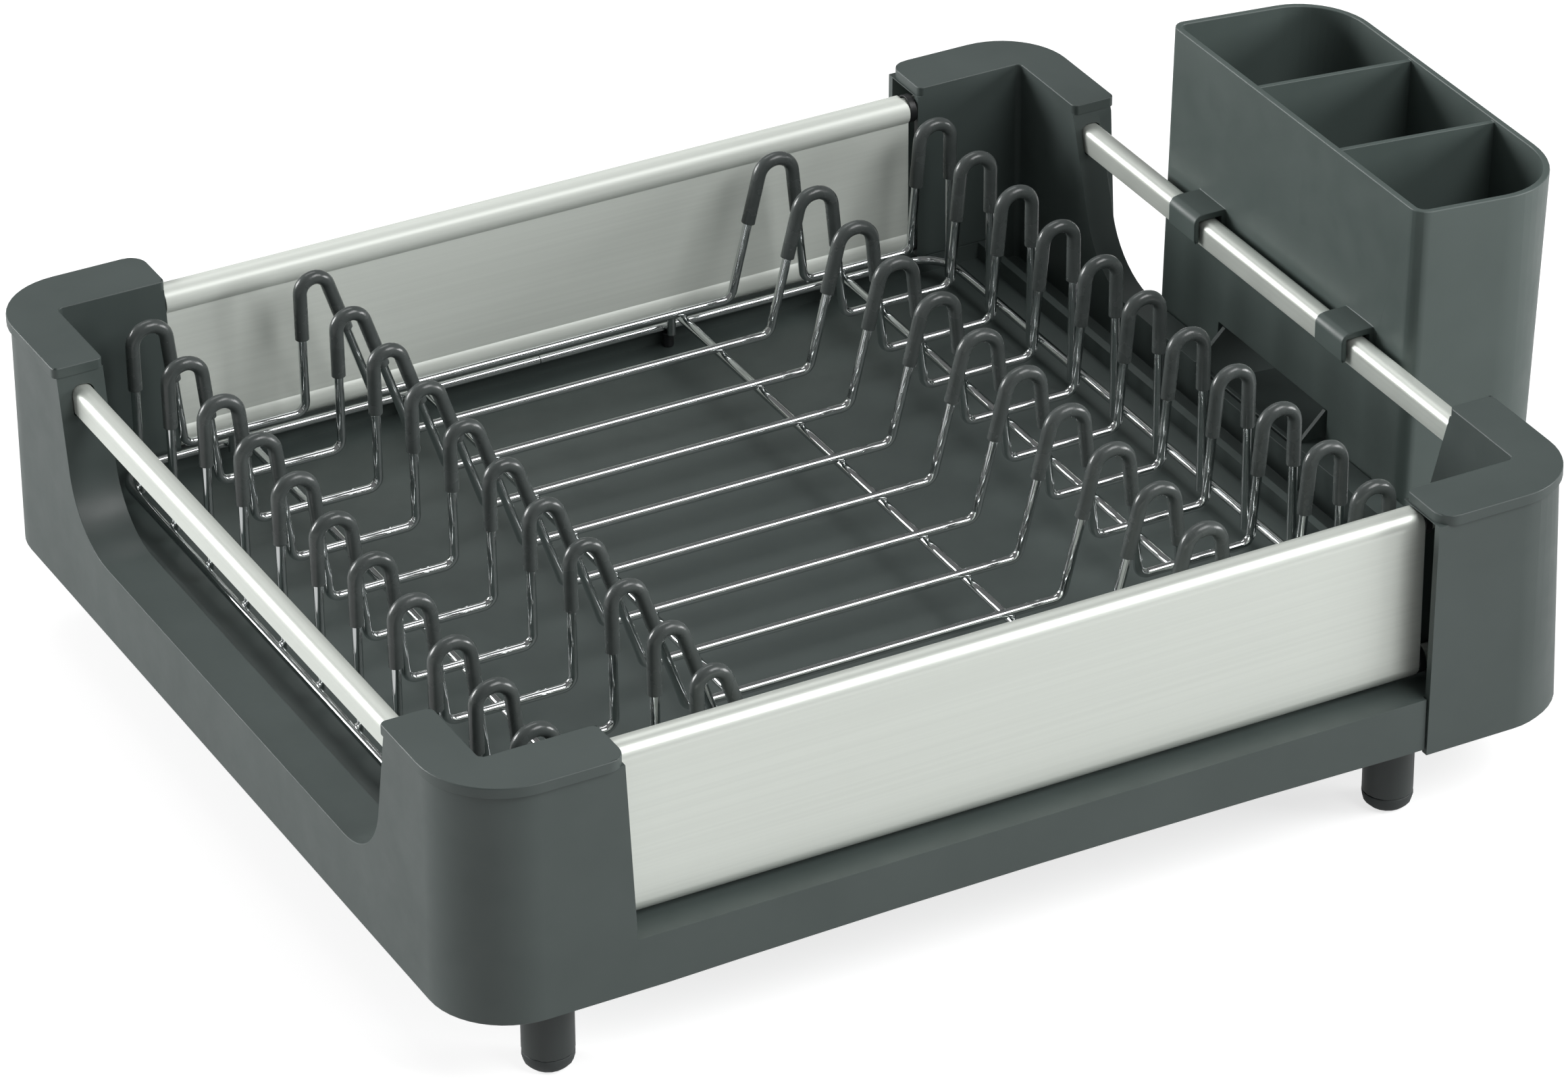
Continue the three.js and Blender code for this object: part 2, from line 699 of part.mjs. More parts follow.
// The corners of a plate wire in X and Z, from its left foot to its right foot
function plateWireCorners() {
  const corners = [];
  const coats = [];
  const alongRack = (share) => rackLeft + rackLength * share;
  loopShares.forEach((loop, index) => {
    const topZ = loopTops[index] - coatDiameter / 2;
    const last = index === loopShares.length - 1;
    const foot = alongRack(loop.foot);
    const topLeft = alongRack(loop.topLeft);
    const topRight = alongRack(loop.topRight);
    const footRight = alongRack(loop.footRight);
    const bend = (topRight - topLeft) * loop.bend;
    corners.push(index === 0 ? [foot, ringZ - wireDiameter / 2] : [foot, runZ, footBend]);
    corners.push([topLeft, topZ, bend]);
    corners.push([topRight, topZ, bend]);
    corners.push(last ? [footRight, ringZ - wireDiameter / 2] : [footRight, runZ, footBend]);
    const coatShare = coatLength / (topZ - runZ);
    coats.push([
      [topLeft + (foot - topLeft) * coatShare, topZ - coatLength],
      [topLeft, topZ, bend],
      [topRight, topZ, bend],
      [topRight + (footRight - topRight) * coatShare, topZ - coatLength],
    ]);
  });
  return { corners, coats };
}

const plateWire = plateWireCorners();

function inPlane(corners) {
  return roundCorners(corners, routeError, true).map((point) => new THREE.Vector3(point.x, 0, point.y));
}

function makePlateWire() {
  let wire = wireSolid(inPlane(plateWire.corners), wireDiameter);
  for (const coat of plateWire.coats) {
    wire = wire.add(wireSolid(inPlane(coat), coatDiameter));
  }
  return wire;
}

// The ring is one bent wire whose ends meet, but for the gap, in the middle of the back
function makeRackRing() {
  const ringLeft = rackLeft - weldStep;
  const ringRight = rackRight + weldStep;
  const middle = (ringLeft + ringRight) / 2;
  const corners = [
    [middle + fitGap / 2, ringHalfDepth],
    [ringRight, ringHalfDepth, ringCornerRadius],
    [ringRight, -ringHalfDepth, ringCornerRadius],
    [ringLeft, -ringHalfDepth, ringCornerRadius],
    [ringLeft, ringHalfDepth, ringCornerRadius],
    [middle - fitGap / 2, ringHalfDepth],
  ];
  const points = roundCorners(corners, routeError, true);
  return wireSolid(points.map((point) => new THREE.Vector3(point.x, point.y, ringZ)), wireDiameter);
}

// A bar under the plate wires whose ends turn down beside the ring
function makeCrossBar() {
  const barHalf = ringHalfDepth - weldStep;
  const corners = [
    [-barHalf, ringZ - wireDiameter / 2],
    [-barHalf, runZ - weldStep, footBend],
    [barHalf, runZ - weldStep, footBend],
    [barHalf, ringZ - wireDiameter / 2],
  ];
  const points = roundCorners(corners, routeError, true);
  return wireSolid(points.map((point) => new THREE.Vector3(0, point.x, point.y)), wireDiameter);
}

function makeRackFoot() {
  const top = ringZ - wireDiameter / 2 - fitGap;
  return prismZ(circle(0, 0, rackFootDiameter / 2, boreSides), floorTop, top);
}

// Leans the caddy's inner and outer side towards the tray at the bottom
function leanCaddy(solid) {
  return solid.warp((vertex) => {
    const outwardShare = (vertex[0] - caddyInner) / caddyDepth;
    const dropShare = (caddyTop - vertex[2]) / (caddyTop - caddyBottom);
    vertex[0] -= (caddyInnerLean + (caddyTaper - caddyInnerLean) * outwardShare) * dropShare;
  });
}

function caddyOutline(inset) {
  const innerRadius = Math.max(caddyInnerRadius - inset, caddyInnerRadius / 2);
  return outline([
    [caddyInner + inset, caddyNear + inset, innerRadius],
    [caddyInner + caddyDepth - inset, caddyNear + inset, caddyFrontRadius - inset],
    [caddyInner + caddyDepth - inset, caddyFar - inset, caddyBackRadius - inset],
    [caddyInner + inset, caddyFar - inset, innerRadius],
  ]);
}

function rimCut(drop) {
  const slope = caddyRimDrop / caddyDepth;
  return prismY([
    new THREE.Vector2(caddyInner - overrun, caddyTop - drop + slope * overrun),
    new THREE.Vector2(caddyInner + caddyDepth + overrun, caddyTop - drop - slope * (caddyDepth + overrun)),
    new THREE.Vector2(caddyInner + caddyDepth + overrun, caddyTop + 3 * overrun),
    new THREE.Vector2(caddyInner - overrun, caddyTop + 3 * overrun),
  ], caddyNear - overrun, caddyFar + overrun);
}

function makeHook(y) {
  const railSide = railWidth / 2 + hookSideGap;
  const roofUnder = railTop + fitGap;
  const roofTop = roofUnder + hookRoof;
  const tip = roofUnder - hookDrop;
  const wallLean = (caddyInnerLean * (caddyTop - roofTop)) / (caddyTop - caddyBottom);
  const wallSide = caddyInner - wallLean + caddyWall / 2;
  const corners = [
    [railX - railSide - hookWall, tip, hookWall / 2],
    [railX - railSide, tip],
    [railX - railSide, roofUnder],
    [railX + railSide, roofUnder],
    [railX + railSide, tip],
    [wallSide, tip],
    [wallSide, roofTop],
    [railX - railSide - hookWall, roofTop, hookRadius],
  ];
  return prismY(outline(corners), y - hookWidth / 2, y + hookWidth / 2);
}

function makeCaddy() {
  let caddy = leanCaddy(prismZ(caddyOutline(0), caddyBottom, caddyTop + overrun));
  let hollow = leanCaddy(prismZ(caddyOutline(caddyWall), caddyBottom + caddyFloor, caddyTop + 2 * overrun));
  const outer = caddyInner + caddyDepth + overrun;
  hollow = hollow.subtract(box(caddyCutStart, outer,
    tunnelNear - caddyWall, tunnelFar + caddyWall, caddyBottom, tunnelTop + caddyFloor));
  const inside = caddyFar - caddyNear - 2 * caddyWall;
  const cell = (inside - dividerCount * dividerThickness) / (dividerCount + 1);
  for (let index = 1; index <= dividerCount; index += 1) {
    const start = caddyNear + caddyWall + index * cell + (index - 1) * dividerThickness;
    const end = start + dividerThickness;
    const divider = box(caddyCutStart, outer, start, end, caddyBottom, caddyTop + overrun);
    hollow = hollow.subtract(divider.subtract(rimCut(dividerDrop)));
  }
  caddy = caddy.subtract(hollow);
  caddy = caddy.subtract(box(caddyCutStart, outer, tunnelNear, tunnelFar, caddyBottom - overrun, tunnelTop));
  caddy = caddy.subtract(rimCut(0));
  for (const y of [nearHookY, farHookY]) {
    caddy = caddy.add(makeHook(y));
  }
  return caddy;
}

function makeLeg() {
  return prismZ(circle(0, 0, legDiameter / 2, roundSides), legTipHeight, floorBottom);
}

function makeLegTip() {
  const radius = legDiameter / 2;
  const profile = [new THREE.Vector2(0, 0)];
  const steps = arcSteps(legTipRadius, Math.PI / 2, routeError);
  for (let step = 0; step <= steps; step += 1) {
    const angle = (Math.PI * step) / (2 * steps);
    profile.push(new THREE.Vector2(
      radius - legTipRadius + legTipRadius * Math.sin(angle),
      legTipRadius - legTipRadius * Math.cos(angle),
    ));
  }
  profile.push(new THREE.Vector2(radius, legTipHeight));
  profile.push(new THREE.Vector2(0, legTipHeight));
  return toSolid(new THREE.LatheGeometry(profile, roundSides).rotateX(Math.PI / 2));
}

function addPiece(parent, name, geometry, material, place = [0, 0, 0]) {
  const mesh = new THREE.Mesh(geometry, material);
  mesh.name = name;
  mesh.position.set(...place);
  parent.add(mesh);
}

const group = new THREE.Group();
group.name = 'dish_drying_rack';
const base = new THREE.Group();
const extension = new THREE.Group();
const rack = new THREE.Group();
group.add(base, extension, rack);

addPiece(base, 'base_tray', toGeometry(makeBaseTray()), plastic());
addPiece(base, 'front_panel', toGeometry(makePanel(-1)), aluminium());
addPiece(base, 'back_panel', toGeometry(makePanel(1)), aluminium());

addPiece(base, 'left_rail', toGeometry(makeRail(frontLeftArmEnd)), aluminium(), [-railX, 0, 0]);
addPiece(extension, 'right_rail', toGeometry(makeRail(armEnd)), aluminium(), [railX, 0, 0]);

addPiece(extension, 'extension_tray', toGeometry(makeExtensionTray()), plastic());
addPiece(extension, 'caddy', toGeometry(makeCaddy()), plastic());

const rodGeometry = toGeometry(makeRod());
const bushingGeometry = toGeometry(makeBushing());
const legGeometry = toGeometry(makeLeg());
const legTipGeometry = toGeometry(makeLegTip());
const rackFootGeometry = toGeometry(makeRackFoot());
let corner = 1;
for (const side of [-1, 1]) {
  for (const z of [bottomTubeZ, topTubeZ]) {
    addPiece(extension, `slide_rod_${corner}`, rodGeometry, aluminium(), [0, side * tubeY, z]);
    const bushingX = panelEnd(side) + fitGap;
    addPiece(base, `rod_bushing_${corner}`, bushingGeometry, plastic(), [bushingX, side * tubeY, z]);
    corner += 1;
  }
}

corner = 1;
for (const side of [-1, 1]) {
  for (const x of [legLeftX, legRightX]) {
    addPiece(base, `leg_${corner}`, legGeometry, plastic(), [x, side * legHalfSpread, 0]);
    addPiece(base, `leg_tip_${corner}`, legTipGeometry, rubber(), [x, side * legHalfSpread, 0]);
    corner += 1;
  }
}

const plateWireGeometry = toGeometry(makePlateWire());
for (let index = 0; index < wireCount; index += 1) {
  const y = (index - (wireCount - 1) / 2) * wirePitch;
  const name = `plate_wire_${String(index + 1).padStart(2, '0')}`;
  addPiece(rack, name, plateWireGeometry, coating(), [0, y, 0]);
}
addPiece(rack, 'rack_ring', toGeometry(makeRackRing()), chrome());
const crossBarGeometry = toGeometry(makeCrossBar());
for (const [name, share] of Object.entries(crossBarShares)) {
  addPiece(rack, `cross_bar_${name}`, crossBarGeometry, chrome(), [rackLeft + rackLength * share, 0, 0]);
}
const footY = ringHalfDepth - rackFootInset;
corner = 1;
for (const side of [-1, 1]) {
  for (const share of [crossBarShares.b, crossBarShares.c]) {
    const footX = rackLeft + rackLength * share;
    addPiece(rack, `rack_foot_${corner}`, rackFootGeometry, plastic(), [footX, side * footY, 0]);
    corner += 1;
  }
}

const bounds = new THREE.Box3().setFromObject(group);
group.position.x = -(bounds.min.x + bounds.max.x) / 2;

export default group;
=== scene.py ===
"""The looks of a dish drying rack: moulded trays and caddy, aluminium sides and a rack of dipped wire."""

from math import ceil, cos, pi, radians

import bmesh
import bpy
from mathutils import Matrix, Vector, kdtree


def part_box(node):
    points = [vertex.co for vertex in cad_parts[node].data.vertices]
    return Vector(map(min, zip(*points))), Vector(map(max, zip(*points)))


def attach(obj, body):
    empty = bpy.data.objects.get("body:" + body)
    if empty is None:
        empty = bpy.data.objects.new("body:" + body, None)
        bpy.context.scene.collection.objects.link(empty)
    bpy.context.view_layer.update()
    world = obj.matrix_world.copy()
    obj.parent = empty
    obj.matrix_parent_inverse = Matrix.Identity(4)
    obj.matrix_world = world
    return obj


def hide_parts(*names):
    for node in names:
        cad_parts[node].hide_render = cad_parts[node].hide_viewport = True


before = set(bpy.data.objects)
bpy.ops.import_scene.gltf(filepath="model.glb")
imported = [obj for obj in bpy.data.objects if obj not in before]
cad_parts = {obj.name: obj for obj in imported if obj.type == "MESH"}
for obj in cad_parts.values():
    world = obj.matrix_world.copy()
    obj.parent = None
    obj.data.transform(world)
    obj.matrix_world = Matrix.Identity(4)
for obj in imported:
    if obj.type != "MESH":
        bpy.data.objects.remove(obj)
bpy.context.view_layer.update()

MM = 0.001

# Sizes and places in millimetres, about the middle of the closed body
CLOSED_LENGTH = 380.8
FLOOR_TOP = 42.1
WIRE = 3.0
WIRE_COUNT = 11
WIRE_PITCH = 27.0
WELD_STEP = WIRE + 0.3
RACK_LEFT = -154.4
RACK_LENGTH = 294.4
RACK_RIGHT = RACK_LEFT + RACK_LENGTH
RUN_Z = FLOOR_TOP + 18.4
RING_Z = FLOOR_TOP + 7.0
RING_HALF_DEPTH = 147.4
RING_CORNER = 13.0
RING_BUTT_GAP = 0.3
BAR_HALF_LENGTH = RING_HALF_DEPTH - WELD_STEP
FOOT_BEND = 3.8
OUTER_LOOP_TOP = 108.0
INNER_LOOP_TOP = 110.5

# The beads at the welds: their radius, by what share it varies, and the seed of that variation
BEAD_RADIUS = 1.1
BEAD_VARIATION = 0.12
BEAD_SEED = 7

# The dipped coat of a loop: its diameter, how far it runs down, how closely it is sampled along the wire,
# the length of its rounded ends and the share of the diameter that such an end starts with
COAT = 4.6
COAT_RUN = 21.0
COAT_STEP = 0.9
COAT_END_RUN = 1.1
COAT_END_SHARE = 0.72

# The cross bars and the loops of a plate wire as shares of the rack's length: for a loop its left foot, the
# two ends of its top and its right foot, then its height and the bend of its top as a share of its width
CROSS_BAR_SHARES = (0.122, 0.3383, 0.6603, 0.8628)
LOOP_SHARES = (
    (0.0, -0.0014, 0.0367, 0.053, OUTER_LOOP_TOP, 0.518),
    (0.197, 0.1957, 0.2249, 0.2782, INNER_LOOP_TOP, 0.57),
    (0.7194, 0.7602, 0.7965, 0.8125, INNER_LOOP_TOP, 0.57),
    (0.9487, 0.9626, 1.0, 1.0, OUTER_LOOP_TOP, 0.509),
)

body_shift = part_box("base_tray")[0].x / MM + CLOSED_LENGTH / 2


def place(x, y, z):
    """A point given in millimetres about the closed body, in the frame's metres."""
    return Vector(((x + body_shift) * MM, y * MM, z * MM))


def link(obj):
    """Puts an object into the scene."""
    bpy.context.scene.collection.objects.link(obj)
    return obj


# Materials

# The band in which most of a noise's values lie, and where its first tone ends and its second begins
NOISE_LOW, NOISE_HIGH = 0.3, 0.7
FIRST_TONE, SECOND_TONE = 0.35, 0.65

# Die lines are long along an extrusion and fine across it
LINES_ALONG_X = (6.0, 900.0, 900.0)
LINES_ALONG_Y = (900.0, 6.0, 900.0)


def linear(red, green, blue):
    """A colour given on the 0 to 255 scale, as the shader wants it."""
    channels = []
    for value in (red, green, blue):
        share = value / 255
        channels.append(share / 12.92 if share <= 0.04045 else ((share + 0.055) / 1.055) ** 2.4)
    return (*channels, 1.0)


def new_finish(name, colour, metallic, roughness):
    """A material with its nodes, links and shader, and the piece's own place for its patterns to read."""
    finish = bpy.data.materials.new(name)
    finish.use_nodes = True
    nodes = finish.node_tree.nodes
    links = finish.node_tree.links
    shader = nodes["Principled BSDF"]
    shader.inputs["Base Color"].default_value = colour
    shader.inputs["Metallic"].default_value = metallic
    shader.inputs["Roughness"].default_value = roughness
    where = nodes.new("ShaderNodeTexCoord")
    return finish, nodes, links, shader, where


def grain(nodes, links, where, scale, detail=2.0, stretch=(1.0, 1.0, 1.0)):
    """Noise over the piece's own place, in cycles per metre, stretched along its axes."""
    mapping = nodes.new("ShaderNodeMapping")
    mapping.inputs["Scale"].default_value = stretch
    links.new(where.outputs["Object"], mapping.inputs["Vector"])
    noise = nodes.new("ShaderNodeTexNoise")
    noise.inputs["Scale"].default_value = scale
    noise.inputs["Detail"].default_value = detail
    links.new(mapping.outputs["Vector"], noise.inputs["Vector"])
    return noise.outputs["Fac"]


def roughen(nodes, links, shader, noise, low, high):
    """Lets the roughness follow a noise, from low to high."""
    span = nodes.new("ShaderNodeMapRange")
    span.inputs["From Min"].default_value = NOISE_LOW
    span.inputs["From Max"].default_value = NOISE_HIGH
    span.inputs["To Min"].default_value = low
    span.inputs["To Max"].default_value = high
    links.new(noise, span.inputs["Value"])
    links.new(span.outputs["Result"], shader.inputs["Roughness"])


def cloud(nodes, links, shader, noise, first, second):
    """Lets the colour follow a noise, between two near tones."""
    ramp = nodes.new("ShaderNodeValToRGB")
    ramp.color_ramp.elements[0].position = FIRST_TONE
    ramp.color_ramp.elements[0].color = first
    ramp.color_ramp.elements[1].position = SECOND_TONE
    ramp.color_ramp.elements[1].color = second
    links.new(noise, ramp.inputs["Fac"])
    links.new(ramp.outputs["Color"], shader.inputs["Base Color"])


def emboss(nodes, links, shader, noise, strength, depth):
    """Lets the light see a noise as a relief, with its depth in metres."""
    relief = nodes.new("ShaderNodeBump")
    relief.inputs["Strength"].default_value = strength
    relief.inputs["Distance"].default_value = depth
    links.new(noise, relief.inputs["Height"])
    links.new(relief.outputs["Normal"], shader.inputs["Normal"])


def moulded_plastic(name, first, second, rough_low, rough_high):
    """Moulded plastic with a fine spark-eroded texture and faint clouds of colour from its flow."""
    finish, nodes, links, shader, where = new_finish(name, first, metallic=0.0, roughness=rough_low)
    flow = grain(nodes, links, where, scale=28.0, detail=4.0)
    cloud(nodes, links, shader, flow, first, second)
    haze = grain(nodes, links, where, scale=90.0, detail=3.0)
    roughen(nodes, links, shader, haze, rough_low, rough_high)
    spark = grain(nodes, links, where, scale=2600.0)
    emboss(nodes, links, shader, spark, strength=0.12, depth=0.00012)
    return finish


def satin_aluminium(name, stretch, metallic):
    """Anodised extrusion: a satin skin that scatters part of the light, with faint die lines."""
    finish, nodes, links, shader, where = new_finish(name, linear(226, 231, 224), metallic, roughness=0.36)
    lines = grain(nodes, links, where, scale=1.0, detail=3.0, stretch=stretch)
    cloud(nodes, links, shader, lines, linear(224, 229, 222), linear(228, 233, 226))
    roughen(nodes, links, shader, lines, low=0.34, high=0.4)
    emboss(nodes, links, shader, lines, strength=0.03, depth=0.00003)
    return finish


def chrome_plate(name):
    """Bright plating over drawn wire, with a slight orange peel."""
    tone = linear(206, 209, 209)
    finish, nodes, links, shader, where = new_finish(name, tone, metallic=1.0, roughness=0.06)
    haze = grain(nodes, links, where, scale=160.0, detail=3.0)
    roughen(nodes, links, shader, haze, low=0.05, high=0.08)
    peel = grain(nodes, links, where, scale=900.0)
    emboss(nodes, links, shader, peel, strength=0.004, depth=0.00002)
    return finish


def dipped_coating(name):
    """Soft plastic that the wire was dipped in: glossy, with a slight unevenness where it ran."""
    finish, nodes, links, shader, where = new_finish(name, linear(76, 81, 80), metallic=0.0, roughness=0.25)
    flow = grain(nodes, links, where, scale=120.0, detail=3.0)
    cloud(nodes, links, shader, flow, linear(73, 78, 77), linear(80, 85, 84))
    roughen(nodes, links, shader, flow, low=0.2, high=0.32)
    runs = grain(nodes, links, where, scale=420.0)
    emboss(nodes, links, shader, runs, strength=0.22, depth=0.0004)
    return finish


def soft_rubber(name):
    """Matt rubber of the leg tips, slightly mottled."""
    finish, nodes, links, shader, where = new_finish(name, linear(52, 57, 57), metallic=0.0, roughness=0.6)
    mottle = grain(nodes, links, where, scale=200.0, detail=3.0)
    cloud(nodes, links, shader, mottle, linear(48, 53, 53), linear(56, 61, 61))
    roughen(nodes, links, shader, mottle, low=0.55, high=0.7)
    pores = grain(nodes, links, where, scale=1800.0)
    emboss(nodes, links, shader, pores, strength=0.2, depth=0.0001)
    return finish


tray_plastic = moulded_plastic("tray_plastic", linear(69, 78, 76), linear(73, 82, 80), 0.42, 0.52)
caddy_plastic = moulded_plastic("caddy_plastic", linear(76, 87, 84), linear(80, 91, 88), 0.42, 0.52)
leg_plastic = moulded_plastic("leg_plastic", linear(48, 54, 53), linear(52, 58, 57), 0.4, 0.5)
collar_plastic = moulded_plastic("collar_plastic", linear(30, 32, 33), linear(34, 36, 37), 0.35, 0.45)
side_aluminium = satin_aluminium("side_aluminium", LINES_ALONG_X, metallic=0.5)
# Painted light: the back extrusion takes the side aluminium with most of its shine turned to diffuse colour,
# so that its web shows lighter than the lamps alone make it
back_aluminium_painted_light = satin_aluminium("back_aluminium_painted_light", LINES_ALONG_X, metallic=0.08)
rail_aluminium = satin_aluminium("rail_aluminium", LINES_ALONG_Y, metallic=0.5)
wire_chrome = chrome_plate("wire_chrome")
loop_coating = dipped_coating("loop_coating")
tip_rubber = soft_rubber("tip_rubber")

# Geometry node trees


def start_tree(name, sizes):
    """A geometry tree with named size inputs; gives the tree and its two end nodes."""
    tree = bpy.data.node_groups.new(name, "GeometryNodeTree")
    tree.interface.new_socket("Geometry", in_out="INPUT", socket_type="NodeSocketGeometry")
    for label, kind in sizes.items():
        tree.interface.new_socket(label, in_out="INPUT", socket_type=f"NodeSocket{kind}")
    tree.interface.new_socket("Geometry", in_out="OUTPUT", socket_type="NodeSocketGeometry")
    return tree, tree.nodes.new("NodeGroupInput"), tree.nodes.new("NodeGroupOutput")


def step(tree, kind, values=None, **links_in):
    """Adds a node, sets its plain values and links the sockets in links_in (underscores for spaces)."""
    node = tree.nodes.new(kind)
    for label, value in (values or {}).items():
        node.inputs[label].default_value = value
    for label, source in links_in.items():
        tree.links.new(source, node.inputs[label.replace("_", " ")])
    return node


def maths(tree, operation, first, second=None, clamp=False):
    """One step of arithmetic on numbers or sockets."""
    node = tree.nodes.new("ShaderNodeMath")
    node.operation = operation
    node.use_clamp = clamp
    for index, value in enumerate((first, second)):
        if isinstance(value, (int, float)):
            node.inputs[index].default_value = value
        elif value is not None:
            tree.links.new(value, node.inputs[index])
    return node.outputs[0]


def finish_tree(tree, end, instances, material):
    """Makes the instances real, shades them smooth and gives them their material."""
    real = step(tree, "GeometryNodeRealizeInstances", Geometry=instances)
    smooth = step(tree, "GeometryNodeSetShadeSmooth", Geometry=real.outputs["Geometry"])
    dressed = step(
        tree, "GeometryNodeSetMaterial", Geometry=smooth.outputs["Geometry"], Material=material
    )
    tree.links.new(dressed.outputs["Geometry"], end.inputs["Geometry"])


def rounded_end_radius(tree, given):
    """The radius along a curve, as a share of the full one, that rounds off both of its ends."""
    along = tree.nodes.new("GeometryNodeSplineParameter").outputs["Length"]
    whole = tree.nodes.new("GeometryNodeSplineLength").outputs["Length"]
    nearest = maths(tree, "MINIMUM", along, maths(tree, "SUBTRACT", whole, along))
    share = maths(tree, "DIVIDE", nearest, given["End Run"], clamp=True)
    short = maths(tree, "SUBTRACT", 1.0, share)
    round_off = maths(tree, "SQRT", maths(tree, "SUBTRACT", 1.0, maths(tree, "MULTIPLY", short, short)))
    rise = maths(tree, "MULTIPLY", maths(tree, "SUBTRACT", 1.0, given["End Share"]), round_off)
    return maths(tree, "ADD", given["End Share"], rise)


def wire_tree(name, rounded_ends):
    """Bends a run of edges at its corners, gives it a round section and repeats it along Y."""
    sizes = {
        "Diameter": "Float",
        "Sides": "Int",
        "Bend Steps": "Int",
        "Count": "Int",
        "Spacing": "Vector",
        "Material": "Material",
    }
    if rounded_ends:
        sizes.update({"Step Length": "Float", "End Run": "Float", "End Share": "Float"})
    tree, start, end = start_tree(name, sizes)
    given = start.outputs
    bend = tree.nodes.new("GeometryNodeInputNamedAttribute")
    bend.data_type = "FLOAT"
    bend.inputs["Name"].default_value = "bend"
    route = step(tree, "GeometryNodeMeshToCurve", Mesh=given["Geometry"])
    fillet = tree.nodes.new("GeometryNodeFilletCurve")
    fillet.mode = "POLY"
    tree.links.new(route.outputs["Curve"], fillet.inputs["Curve"])
    tree.links.new(given["Bend Steps"], fillet.inputs["Count"])
    tree.links.new(bend.outputs["Attribute"], fillet.inputs["Radius"])
    if rounded_ends:
        sampled = tree.nodes.new("GeometryNodeResampleCurve")
        sampled.mode = "LENGTH"
        tree.links.new(fillet.outputs["Curve"], sampled.inputs["Curve"])
        tree.links.new(given["Step Length"], sampled.inputs["Length"])
        radius = rounded_end_radius(tree, given)
        sized = step(tree, "GeometryNodeSetCurveRadius", Curve=sampled.outputs["Curve"], Radius=radius)
    else:
        sized = step(tree, "GeometryNodeSetCurveRadius", {"Radius": 1.0}, Curve=fillet.outputs["Curve"])
    section = tree.nodes.new("GeometryNodeCurvePrimitiveCircle")
    tree.links.new(given["Sides"], section.inputs["Resolution"])
    tree.links.new(maths(tree, "MULTIPLY", given["Diameter"], 0.5), section.inputs["Radius"])
    tube = step(
        tree, "GeometryNodeCurveToMesh", {"Fill Caps": True},
        Curve=sized.outputs["Curve"], Profile_Curve=section.outputs["Curve"],
    )
    row = step(tree, "GeometryNodeMeshLine", Count=given["Count"], Offset=given["Spacing"])
    copies = step(
        tree, "GeometryNodeInstanceOnPoints", Points=row.outputs["Mesh"], Instance=tube.outputs["Mesh"]
    )
    finish_tree(tree, end, copies.outputs["Instances"], given["Material"])
    return tree


def weld_tree():
    """Puts a small bead of molten wire on each point of the carrier, no two of quite the same size."""
    sizes = {"Size": "Vector", "Spread": "Float", "Material": "Material"}
    tree, start, end = start_tree("weld_beads", sizes)
    given = start.outputs
    bead = step(tree, "GeometryNodeMeshIcoSphere", {"Radius": 1.0, "Subdivisions": 3})
    vary = tree.nodes.new("FunctionNodeRandomValue")
    vary.data_type = "FLOAT"
    vary.inputs["Seed"].default_value = BEAD_SEED
    low, high = [socket for socket in vary.inputs if socket.enabled and socket.name in ("Min", "Max")]
    tree.links.new(maths(tree, "SUBTRACT", 1.0, given["Spread"]), low)
    tree.links.new(maths(tree, "ADD", 1.0, given["Spread"]), high)
    amount = next(socket for socket in vary.outputs if socket.enabled)
    scaled = tree.nodes.new("ShaderNodeVectorMath")
    scaled.operation = "SCALE"
    tree.links.new(given["Size"], scaled.inputs[0])
    tree.links.new(amount, scaled.inputs["Scale"])
    beads = step(
        tree, "GeometryNodeInstanceOnPoints",
        Points=given["Geometry"], Instance=bead.outputs["Mesh"], Scale=scaled.outputs["Vector"],
    )
    finish_tree(tree, end, beads.outputs["Instances"], given["Material"])
    return tree


def route_object(name, routes):
    """Runs of edges with the radius of the bend at each corner; a route is a list of (point, bend)."""
    points, edges, bends = [], [], []
    for route in routes:
        first = len(points)
        for point, bend in route:
            points.append(point)
            bends.append(bend)
        edges += [(first + index, first + index + 1) for index in range(len(route) - 1)]
    mesh = bpy.data.meshes.new(name)
    mesh.from_pydata(points, edges, [])
    mesh.attributes.new("bend", "FLOAT", "POINT").data.foreach_set("value", bends)
    return link(bpy.data.objects.new(name, mesh))


def grown(carrier, name, tree, values):
    """Runs a tree on the carrier and keeps only the plain mesh that it makes."""
    modifier = carrier.modifiers.new(tree.name, "NODES")
    modifier.node_group = tree
    for item in tree.interface.items_tree:
        if item.in_out == "INPUT" and item.name in values:
            modifier[item.identifier] = values[item.name]
    bpy.context.view_layer.update()
    evaluated = carrier.evaluated_get(bpy.context.evaluated_depsgraph_get())
    mesh = bpy.data.meshes.new_from_object(evaluated)
    if "bend" in mesh.attributes:
        mesh.attributes.remove(mesh.attributes["bend"])
    mesh.name = name
    piece = link(bpy.data.objects.new(name, mesh))
    bpy.data.objects.remove(carrier)
    return piece


# Wire rack

first_wire_y = -WIRE_PITCH * (WIRE_COUNT - 1) / 2
wire_rows = [first_wire_y + WIRE_PITCH * index for index in range(WIRE_COUNT)]
bar_rows = [RACK_LEFT + RACK_LENGTH * share for share in CROSS_BAR_SHARES]


